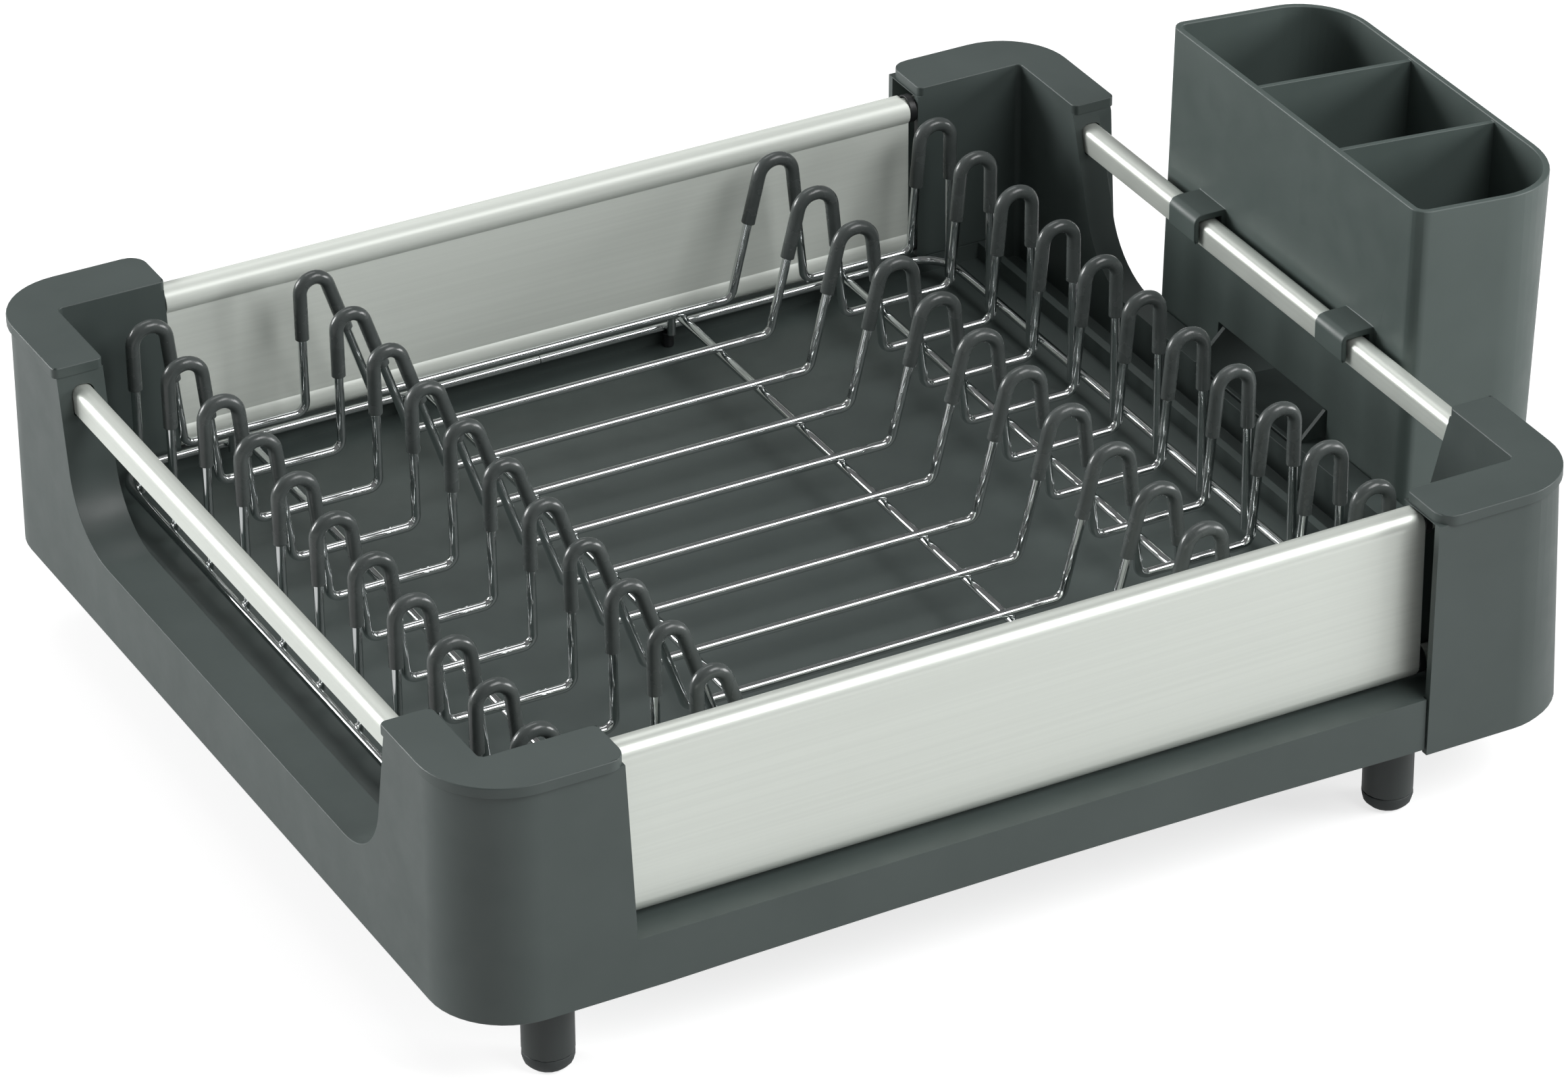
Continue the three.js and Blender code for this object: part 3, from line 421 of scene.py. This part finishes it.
def plate_wire_route():
    """The corners of one plate wire in X and Z, and those of its four dipped loops."""
    wire, coats = [], []
    for index, (*shares, top, bend_share) in enumerate(LOOP_SHARES):
        foot, top_left, top_right, foot_right = (RACK_LEFT + RACK_LENGTH * share for share in shares)
        top_z = top - COAT / 2
        bend = (top_right - top_left) * bend_share
        first = index == 0
        last = index == len(LOOP_SHARES) - 1
        wire.append(((foot, RING_Z - WIRE / 2), 0.0) if first else ((foot, RUN_Z), FOOT_BEND))
        wire += [((top_left, top_z), bend), ((top_right, top_z), bend)]
        wire.append(((foot_right, RING_Z - WIRE / 2), 0.0) if last else ((foot_right, RUN_Z), FOOT_BEND))
        dipped = COAT_RUN / (top_z - RUN_Z)
        coats.append([
            ((top_left + (foot - top_left) * dipped, top_z - COAT_RUN), 0.0),
            ((top_left, top_z), bend),
            ((top_right, top_z), bend),
            ((top_right + (foot_right - top_right) * dipped, top_z - COAT_RUN), 0.0),
        ])
    return wire, coats


def in_first_row(route):
    """Stands a route that is drawn in X and Z where the first plate wire is."""
    return [(place(x, first_wire_y, z), bend * MM) for (x, z), bend in route]


def ring_route():
    """The ring, from its butt joint in the middle of the back round its four corners and back to it."""
    left = RACK_LEFT - WELD_STEP
    right = RACK_RIGHT + WELD_STEP
    back, front = RING_HALF_DEPTH, -RING_HALF_DEPTH
    middle = (left + right) / 2
    corners = [(right, back), (right, front), (left, front), (left, back)]
    return [
        (place(middle + RING_BUTT_GAP / 2, back, RING_Z), 0.0),
        *[(place(x, y, RING_Z), RING_CORNER * MM) for x, y in corners],
        (place(middle - RING_BUTT_GAP / 2, back, RING_Z), 0.0),
    ]


def cross_bar_route(x):
    """A bar under the plate wires, whose two ends turn down beside the ring."""
    return [
        (place(x, -BAR_HALF_LENGTH, RING_Z - WIRE / 2), 0.0),
        (place(x, -BAR_HALF_LENGTH, RUN_Z - WELD_STEP), FOOT_BEND * MM),
        (place(x, BAR_HALF_LENGTH, RUN_Z - WELD_STEP), FOOT_BEND * MM),
        (place(x, BAR_HALF_LENGTH, RING_Z - WIRE / 2), 0.0),
    ]


def weld_places():
    """Where two wires meet: plate wires on the bars, plate wires at the ring and bars at the ring."""
    ring_sides = (RACK_LEFT - WELD_STEP / 2, RACK_RIGHT + WELD_STEP / 2)
    bar_end = BAR_HALF_LENGTH + WELD_STEP / 2
    places = [place(x, y, RUN_Z - WELD_STEP / 2) for x in bar_rows for y in wire_rows]
    places += [place(x, y, RING_Z) for x in ring_sides for y in wire_rows]
    places += [place(x, y, RING_Z) for x in bar_rows for y in (-bar_end, bar_end)]
    return places


plain_wire_tree = wire_tree("plain_wire_row", rounded_ends=False)
coated_wire_tree = wire_tree("dipped_loop_row", rounded_ends=True)
row_values = {"Sides": 14, "Bend Steps": 8, "Count": WIRE_COUNT, "Spacing": (0.0, WIRE_PITCH * MM, 0.0)}
single_values = {"Sides": 16, "Bend Steps": 10, "Count": 1, "Spacing": (0.0, 0.0, 0.0)}
chromed = {"Diameter": WIRE * MM, "Material": wire_chrome}
coated = {
    "Diameter": COAT * MM,
    "Step Length": COAT_STEP * MM,
    "End Run": COAT_END_RUN * MM,
    "End Share": COAT_END_SHARE,
    "Material": loop_coating,
}
beaded = {"Size": (BEAD_RADIUS * MM,) * 3, "Spread": BEAD_VARIATION, "Material": wire_chrome}

plate_route, coat_routes = plate_wire_route()
plate_wires = grown(
    route_object("plate_wire_route", [in_first_row(plate_route)]),
    "plate_wires", plain_wire_tree, {**row_values, **chromed},
)
loop_coats = grown(
    route_object("loop_coat_routes", [in_first_row(route) for route in coat_routes]),
    "loop_coats", coated_wire_tree, {**row_values, **coated},
)
ring_wire = grown(
    route_object("ring_route", [ring_route()]),
    "ring_wire", plain_wire_tree, {**single_values, **chromed},
)
cross_wires = grown(
    route_object("cross_bar_routes", [cross_bar_route(x) for x in bar_rows]),
    "cross_wires", plain_wire_tree, {**single_values, **chromed},
)
weld_beads = grown(
    route_object("weld_places", [[(point, 0.0)] for point in weld_places()]),
    "weld_beads", weld_tree(), beaded,
)

# Moulded pieces, extrusions and legs: copies of the solids with rounded edges

# Radii of the rounded edges, in metres, and the facets across each one
TRAY_EDGE = 0.0005
CADDY_EDGE = 0.0006
PANEL_EDGE = 0.0002
RAIL_EDGE = 0.0003
LEG_EDGE = 0.0004
COLLAR_EDGE = 0.0002
STUD_EDGE = 0.0004
EDGE_SEGMENTS = 2

# Which edges are rounded, and which points and facets of a solid are joined before that
SHARP = radians(32)
SAME_POINT = 2e-6
SAME_FACET = radians(0.4)

# Room for a rounded edge, in its own radius: how far to look beside it, how closely to sample it and what
# share of the room to take; a neighbour counts as beside when little of its distance lies along the edge
LOOK_BESIDE = 2.2
SAMPLE_STEP = 0.8
ROOM_TAKEN = 0.42
SHARE_ALONG = 0.5
TOUCHING = 1e-7

# How much wider an edge may be than the next one in line, and how often that is passed on
WIDENING = 1.25
PASSES = 12

# Which facets lie in one plane, how wide a patch of them counts as a flat, and where smooth shading ends
COPLANAR = cos(radians(0.5))
FLAT_WIDTH = 0.006
CREASE = cos(radians(60))

# The shortest rim to divide by, and the smallest blend that still has a direction
LEAST_RIM = 1e-9
LEAST_BLEND = 1e-20


def room_beside(edges, width):
    """How far the next sharp edge beside each sharp edge is, up to the distance that matters."""
    samples = []
    for edge in edges:
        start, end = (vert.co for vert in edge.verts)
        count = max(1, ceil(edge.calc_length() / (width * SAMPLE_STEP)))
        samples += [(start.lerp(end, (index + 0.5) / count), edge) for index in range(count)]
    tree = kdtree.KDTree(len(samples))
    for index, sample in enumerate(samples):
        tree.insert(sample[0], index)
    tree.balance()
    room = {edge: LOOK_BESIDE * width for edge in edges}
    for point, edge in samples:
        along = (edge.verts[1].co - edge.verts[0].co).normalized()
        for near, index, distance in tree.find_range(point, LOOK_BESIDE * width):
            if samples[index][1] is edge or distance < TOUCHING:
                continue
            if abs((near - point).dot(along)) < SHARE_ALONG * distance:
                room[edge] = min(room[edge], distance)
    return room


def roundable_widths(shape, width):
    """For each sharp edge, the share of the full radius that fits, which changes slowly along a chain."""
    edges = [
        edge for edge in shape.edges if len(edge.link_faces) == 2 and edge.calc_face_angle(0.0) > SHARP
    ]
    room = room_beside(edges, width)
    share = {edge: min(1.0, ROOM_TAKEN * room[edge] / width) for edge in edges}
    in_line = {
        edge: [other for vert in edge.verts for other in vert.link_edges if other in share] for edge in edges
    }
    for _ in range(PASSES):
        for edge in edges:
            share[edge] = min(share[edge], *(WIDENING * share[other] for other in in_line[edge]))
    return share


def flat_patches(shape):
    """Joins coplanar faces into patches; each has its area, its normal and whether it is a wide flat."""
    home = {}
    patches = []
    for seed in sorted(shape.faces, key=lambda face: -face.calc_area()):
        if seed in home:
            continue
        home[seed] = len(patches)
        area, rim, front = 0.0, LEAST_RIM, [seed]
        while front:
            face = front.pop()
            area += face.calc_area()
            for edge in face.edges:
                for other in edge.link_faces:
                    if other is face:
                        continue
                    if other.normal.dot(seed.normal) < COPLANAR:
                        rim += edge.calc_length()
                    elif other not in home:
                        home[other] = len(patches)
                        front.append(other)
        patches.append((area, seed.normal.copy(), 2 * area / rim > FLAT_WIDTH))
    return home, patches


def smooth_fan(face, vert):
    """The faces round a corner that run into the given one without a crease."""
    fan, front = [face], [face]
    while front:
        inside = front.pop()
        for edge in vert.link_edges:
            if inside not in edge.link_faces:
                continue
            for other in edge.link_faces:
                if other not in fan and other.normal.dot(inside.normal) > CREASE:
                    fan.append(other)
                    front.append(other)
    return fan


def corner_normal(face, vert, home, patches):
    """A wide flat's own normal, or else a blend of the patches round the corner by their size."""
    direction, is_flat = patches[home[face]][1:]
    if is_flat:
        return direction.normalized()
    blend = Vector((0.0, 0.0, 0.0))
    for inside in smooth_fan(face, vert):
        area, direction = patches[home[inside]][:2]
        blend += direction * area * area
    return face.normal.normalized() if blend.length < LEAST_BLEND else blend.normalized()


def shaded_by_patch(mesh):
    """Keeps wide flats flat and lets the narrow facets between them shade into each other."""
    shape = bmesh.new()
    shape.from_mesh(mesh)
    home, patches = flat_patches(shape)
    normals = [
        corner_normal(face, corner.vert, home, patches) for face in shape.faces for corner in face.loops
    ]
    shape.free()
    mesh.polygons.foreach_set("use_smooth", [True] * len(mesh.polygons))
    mesh.normals_split_custom_set(normals)


def softened(node, name, finish, width):
    """A copy of a solid with its facets joined, its edges rounded over and its curves shaded smooth."""
    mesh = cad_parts[node].data.copy()
    shape = bmesh.new()
    shape.from_mesh(mesh)
    bmesh.ops.remove_doubles(shape, verts=shape.verts, dist=SAME_POINT)
    bmesh.ops.dissolve_limit(
        shape, angle_limit=SAME_FACET, use_dissolve_boundaries=False, verts=shape.verts, edges=shape.edges
    )
    bmesh.ops.triangulate(shape, faces=[face for face in shape.faces if len(face.verts) > 4])
    weights = shape.edges.layers.float.new("bevel_weight_edge")
    for edge, share in roundable_widths(shape, width).items():
        edge[weights] = share
    shape.to_mesh(mesh)
    shape.free()
    mesh.materials.clear()
    mesh.materials.append(finish)
    piece = link(bpy.data.objects.new(name, mesh))
    bevel = piece.modifiers.new("rounded_edges", "BEVEL")
    bevel.width = width
    bevel.segments = EDGE_SEGMENTS
    bevel.limit_method = "WEIGHT"
    bevel.use_clamp_overlap = False
    bevel.miter_outer = "MITER_ARC"
    rounded = bpy.data.meshes.new_from_object(piece.evaluated_get(bpy.context.evaluated_depsgraph_get()))
    rounded.name = name
    shaded_by_patch(rounded)
    piece.modifiers.clear()
    piece.data = rounded
    return piece


# The name, the finish and the edge radius of each softened copy, by the solid that it is a copy of
softened_looks = {
    "base_tray": ("moulded_base", tray_plastic, TRAY_EDGE),
    "extension_tray": ("moulded_extension", tray_plastic, TRAY_EDGE),
    "caddy": ("moulded_caddy", caddy_plastic, CADDY_EDGE),
    "front_panel": ("front_extrusion", side_aluminium, PANEL_EDGE),
    # The back extrusion's finish carries painted light that brightens its web
    "back_panel": ("back_extrusion", back_aluminium_painted_light, PANEL_EDGE),
    "left_rail": ("left_rail_bar", rail_aluminium, RAIL_EDGE),
    "right_rail": ("right_rail_bar", rail_aluminium, RAIL_EDGE),
}
for number in range(1, 5):
    softened_looks[f"leg_{number}"] = (f"leg_post_{number}", leg_plastic, LEG_EDGE)
    softened_looks[f"leg_tip_{number}"] = (f"leg_cushion_{number}", tip_rubber, LEG_EDGE)
    softened_looks[f"rod_bushing_{number}"] = (f"tube_collar_{number}", collar_plastic, COLLAR_EDGE)
    softened_looks[f"rack_foot_{number}"] = (f"rack_stud_{number}", collar_plastic, STUD_EDGE)
softened_pieces = {node: softened(node, *looks) for node, looks in softened_looks.items()}

# Only the slide rods are seen as solids, and a piece stands for every other solid
for node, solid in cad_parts.items():
    solid.data.materials.clear()
    solid.data.materials.append(side_aluminium if node.startswith("slide_rod") else tray_plastic)

# Floor, light and camera

FLOOR_HALF = 6.0
FLOOR_WHITENESS = 0.52
FLOOR_GLOW = {"Is Camera Ray": 0.73, "Is Glossy Ray": 0.3, "Is Transmission Ray": 0.3}
FILL_LIGHT = 0.19
WHITE_LIGHT = 1.0

# The camera that took the photo: the picture's width and the focal length in pixels, the shift of its middle
# as a share of the width, and its place in millimetres about the closed body
PHOTO_WIDTH = 2322
FOCAL_LENGTH = 10760
SENSOR_WIDTH = 36.0
CAMERA_SHIFT = (-0.05504, -0.01102)
CAMERA_PLACE = (-914.4, -1718.1, 1216.0)
AZIMUTH = radians(-28.93)
ELEVATION = radians(30.67)


def floor_finish():
    """A white floor that keeps the shadow, with a glow that only the camera and reflections see."""
    finish = bpy.data.materials.new("studio_floor")
    finish.use_nodes = True
    nodes = finish.node_tree.nodes
    links = finish.node_tree.links
    nodes.clear()
    paint = nodes.new("ShaderNodeBsdfDiffuse")
    paint.inputs["Color"].default_value = (FLOOR_WHITENESS, FLOOR_WHITENESS, FLOOR_WHITENESS, 1.0)
    glow = nodes.new("ShaderNodeEmission")
    seen = nodes.new("ShaderNodeLightPath")
    adds_to = glow.inputs["Strength"]
    for ray, strength in FLOOR_GLOW.items():
        level = nodes.new("ShaderNodeMath")
        level.operation = "MULTIPLY_ADD"
        level.inputs[1].default_value = strength
        level.inputs[2].default_value = 0.0
        links.new(seen.outputs[ray], level.inputs[0])
        links.new(level.outputs[0], adds_to)
        adds_to = level.inputs[2]
    both = nodes.new("ShaderNodeAddShader")
    links.new(paint.outputs[0], both.inputs[0])
    links.new(glow.outputs[0], both.inputs[1])
    out = nodes.new("ShaderNodeOutputMaterial")
    links.new(both.outputs[0], out.inputs["Surface"])
    return finish


def wide_floor():
    """A square floor under the rack, far wider than the picture."""
    corners = [
        (-FLOOR_HALF, -FLOOR_HALF, 0.0),
        (FLOOR_HALF, -FLOOR_HALF, 0.0),
        (FLOOR_HALF, FLOOR_HALF, 0.0),
        (-FLOOR_HALF, FLOOR_HALF, 0.0),
    ]
    mesh = bpy.data.meshes.new("studio_floor")
    mesh.from_pydata(corners, [], [(0, 1, 2, 3)])
    mesh.materials.append(floor_finish())
    return link(bpy.data.objects.new("studio_floor", mesh))


def white_world():
    """A faint light from all sides, and plain white where the camera looks past the floor."""
    world = bpy.data.worlds.new("studio_world")
    world.use_nodes = True
    nodes = world.node_tree.nodes
    links = world.node_tree.links
    nodes.clear()
    seen = nodes.new("ShaderNodeLightPath")
    mix = nodes.new("ShaderNodeMixShader")
    links.new(seen.outputs["Is Camera Ray"], mix.inputs["Fac"])
    for socket, strength in ((mix.inputs[1], FILL_LIGHT), (mix.inputs[2], WHITE_LIGHT)):
        white = nodes.new("ShaderNodeBackground")
        white.inputs["Color"].default_value = (1.0, 1.0, 1.0, 1.0)
        white.inputs["Strength"].default_value = strength
        links.new(white.outputs[0], socket)
    out = nodes.new("ShaderNodeOutputWorld")
    links.new(mix.outputs[0], out.inputs["Surface"])
    return world


def soft_lamp(name, position, aim_height, width, height, watts):
    """A rectangular softbox that looks at a height over the middle of the floor; sizes in metres."""
    data = bpy.data.lights.new(name, "AREA")
    data.shape = "RECTANGLE"
    data.size = width
    data.size_y = height
    data.energy = watts
    lamp = link(bpy.data.objects.new(name, data))
    lamp.location = position
    aim = Vector((0, 0, aim_height)) - Vector(position)
    lamp.rotation_euler = aim.to_track_quat("-Z", "Y").to_euler()


def photo_camera():
    """The camera that was fitted to the photo."""
    data = bpy.data.cameras.new("photo_camera")
    data.sensor_width = SENSOR_WIDTH
    data.lens = FOCAL_LENGTH * SENSOR_WIDTH / PHOTO_WIDTH
    data.shift_x, data.shift_y = CAMERA_SHIFT
    data.clip_start = 0.05
    data.clip_end = 60.0
    camera = link(bpy.data.objects.new("photo_camera", data))
    camera.location = place(*CAMERA_PLACE)
    camera.rotation_euler = (pi / 2 - ELEVATION, 0.0, AZIMUTH)
    return camera


studio_floor = wide_floor()
bpy.context.scene.world = white_world()
soft_lamp("left_softbox", (-2.1, 1.9, 0.9), aim_height=0.08, width=1.4, height=1.1, watts=83)
soft_lamp("top_softbox", (0.9, -1.6, 2.1), aim_height=0.05, width=1.6, height=1.2, watts=40)
soft_lamp("back_softbox", (0.1, 1.2, 2.2), aim_height=0.05, width=1.6, height=1.0, watts=11)
soft_lamp("front_softbox", (2.7, -1.5, 0.8), aim_height=0.05, width=1.3, height=1.0, watts=56)
bpy.context.scene.camera = photo_camera()
bpy.context.scene.view_settings.view_transform = "Standard"

# What carries each piece, and which solids it stands for


def body_of(node):
    """The body that the copy of a solid rides on."""
    if node in ("extension_tray", "right_rail"):
        return "extension"
    if node.startswith("rack_foot"):
        return "rack"
    return "caddy" if node == "caddy" else "base"


for piece in (plate_wires, loop_coats, ring_wire, cross_wires, weld_beads):
    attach(piece, "rack")
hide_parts(*[f"plate_wire_{number:02d}" for number in range(1, WIRE_COUNT + 1)])
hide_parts("rack_ring")
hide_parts("cross_bar_a", "cross_bar_b", "cross_bar_c", "cross_bar_d")
for node, piece in softened_pieces.items():
    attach(piece, body_of(node))
    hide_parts(node)
